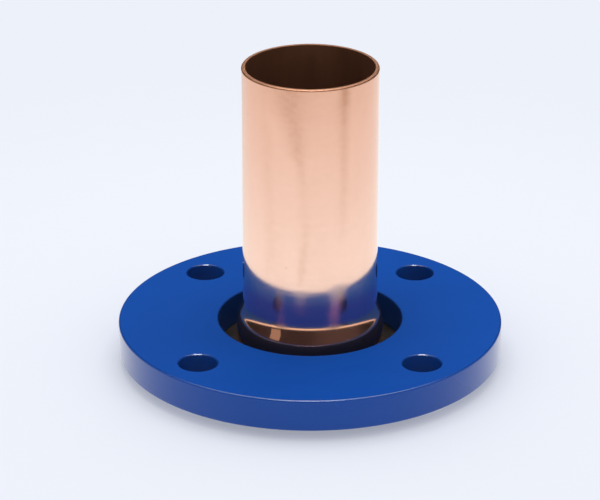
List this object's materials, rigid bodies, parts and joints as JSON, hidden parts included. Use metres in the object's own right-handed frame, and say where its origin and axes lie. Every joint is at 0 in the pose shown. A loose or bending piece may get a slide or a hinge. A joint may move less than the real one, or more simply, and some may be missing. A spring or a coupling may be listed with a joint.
{
  "type": "flange adaptor",
  "caption": "Copper pipe tail with a belled end brazed to a lap collar, carrying a loose blue steel flange with bolt holes, for joining tube to a flanged pipe.",
  "frame": {"origin": "centre of the lap collar's sealing face, which is the lowest face", "axes": "+Z along the tube axis, from the sealing face towards the tail's cut end; the bolt holes lie at 45 degrees to X and Y"},
  "size_m": [0.1906, 0.1906, 0.153],
  "materials": {
    "copper": "satin",
    "bronze": "satin",
    "blue_coating": "satin"
  },
  "bodies": {
    "tail": {"copper_tail": "copper", "lap_collar": "bronze"},
    "flange": {"backing_flange": "blue_coating"}
  },
  "joints": [
    {"name": "flange_spin", "type": "hinge", "parent": "tail", "child": "flange", "pos_m": [0, 0, 0.013], "axis": [0, 0, 1], "continuous": true}
  ]
}
